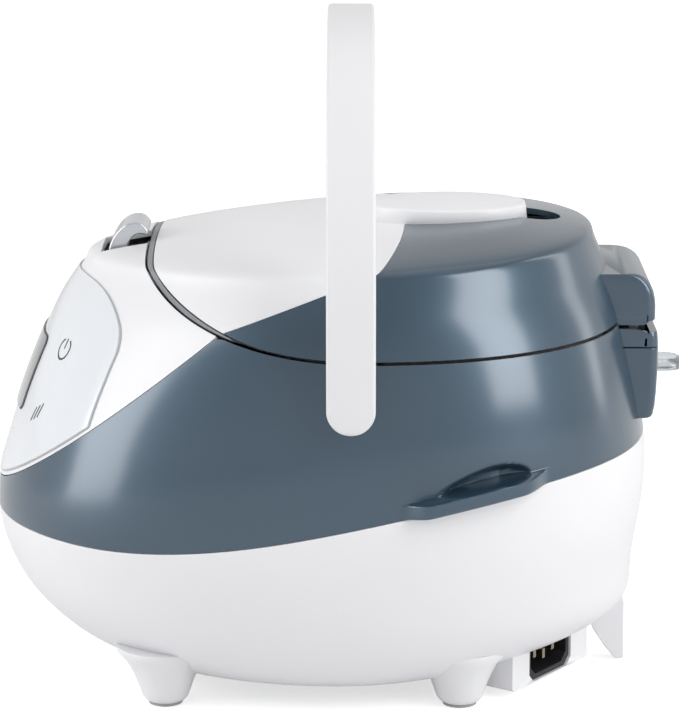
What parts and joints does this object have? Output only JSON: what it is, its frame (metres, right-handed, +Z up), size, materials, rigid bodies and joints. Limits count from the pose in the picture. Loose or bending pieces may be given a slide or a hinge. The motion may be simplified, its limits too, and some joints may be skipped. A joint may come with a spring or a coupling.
{
  "type": "rice cooker",
  "caption": "Compact egg-shaped electric rice cooker with a hinged lid, swinging carry handle, steam cap, front display and an inner pot.",
  "frame": {"origin": "on the floor under the middle of the cooker's overall box", "axes": "+Z up, the control panel faces -Y, the lid hinge is at +Y"},
  "size_m": [0.236, 0.286, 0.2775],
  "materials": {
    "white_plastic": "gloss white moulding",
    "blue_paint": "blue-grey metallic lacquer under clear gloss",
    "grey_plastic": "satin",
    "dark_plastic": "satin black",
    "silver_plastic": "silver metallic lacquer",
    "panel_film": "pale satin film with a clear coat",
    "display_window": "smoked gloss",
    "steel": "plain",
    "aluminised_sheet": "pressed sheet",
    "cast_aluminium": "machined cast face",
    "pot_coating": "non-stick coating inside, satin outside",
    "heater_wrap": "silicone heater wrap",
    "circuit_board": "solder mask",
    "ceramic_body": "unglazed",
    "brass_pins": "plain",
    "rubber": "matt",
    "silicone": "translucent satin",
    "clear_plastic": "clear moulding"
  },
  "bodies": {
    "base": {"lower_housing": "white_plastic", "feet": "white_plastic", "inlet_block": "white_plastic", "rear_fin": "white_plastic", "base_plate": "grey_plastic", "foot_pads": "rubber", "base_screws": "steel", "upper_housing": "blue_paint", "grip_lips": "blue_paint", "front_fascia": "white_plastic", "control_panel": "panel_film", "display_window": "display_window", "display_module": "dark_plastic", "control_board": "circuit_board", "key_switches": "dark_plastic", "button_well": "dark_plastic", "nose_wall": "white_plastic", "top_deck": "white_plastic", "pot_liner": "aluminised_sheet", "warming_band": "heater_wrap", "heating_plate": "cast_aluminium", "heater_terminals": "steel", "plate_supports": "steel", "sensor_housing": "dark_plastic", "sensor_spring": "steel", "inner_pot": "pot_coating", "power_board": "circuit_board", "board_components": "dark_plastic", "thermal_fuse": "ceramic_body", "ac_inlet": "dark_plastic", "inlet_pins": "brass_pins", "hinge_bracket": "dark_plastic", "hinge_pin": "steel", "hinge_springs": "steel", "hinge_cover": "blue_paint", "pivot_studs": "white_plastic", "button_spring": "steel"},
    "lid": {"lid_cover_front": "white_plastic", "lid_cover_rear": "blue_paint", "lid_hinge_block": "blue_paint", "lid_hinge_arms": "dark_plastic", "lid_frame": "grey_plastic", "lid_inner_panel": "grey_plastic", "inner_lid_plate": "cast_aluminium", "lid_gasket": "silicone", "lid_catch": "dark_plastic", "lid_screws": "steel", "steam_tray": "dark_plastic", "steam_duct": "grey_plastic", "cap_seal": "silicone"},
    "cap": {"steam_vent_cap": "white_plastic"},
    "handle": {"carry_handle": "white_plastic"},
    "button": {"release_button": "silver_plastic"},
    "sensor": {"temperature_sensor": "cast_aluminium"},
    "collector": {"dew_collector": "clear_plastic"}
  },
  "joints": [
    {"name": "lid_hinge", "type": "hinge", "parent": "base", "child": "lid", "pos_m": [0, 0.1205, 0.151], "axis": [-1, 0, 0], "range_deg": [0, 20]},
    {"name": "handle_fold", "type": "hinge", "parent": "base", "child": "handle", "pos_m": [0, 0.005, 0.1375], "axis": [1, 0, 0], "range_deg": [-85, 85]},
    {"name": "steam_cap_lift", "type": "slide", "parent": "lid", "child": "cap", "axis": [0, 0, 1], "range_m": [0, 0.035]},
    {"name": "button_press", "type": "slide", "parent": "base", "child": "button", "axis": [0, 0, -1], "range_m": [0, 0.003], "stiffness_N_per_m": 300, "springref_m": -0.002, "deforming": ["button_spring"]},
    {"name": "sensor_press", "type": "slide", "parent": "base", "child": "sensor", "axis": [0, 0, -1], "range_m": [0, 0.003], "stiffness_N_per_m": 300, "springref_m": -0.002, "deforming": ["sensor_spring"]},
    {"name": "collector_slide", "type": "slide", "parent": "base", "child": "collector", "axis": [0, 1, 0], "range_m": [0, 0.035]}
  ]
}
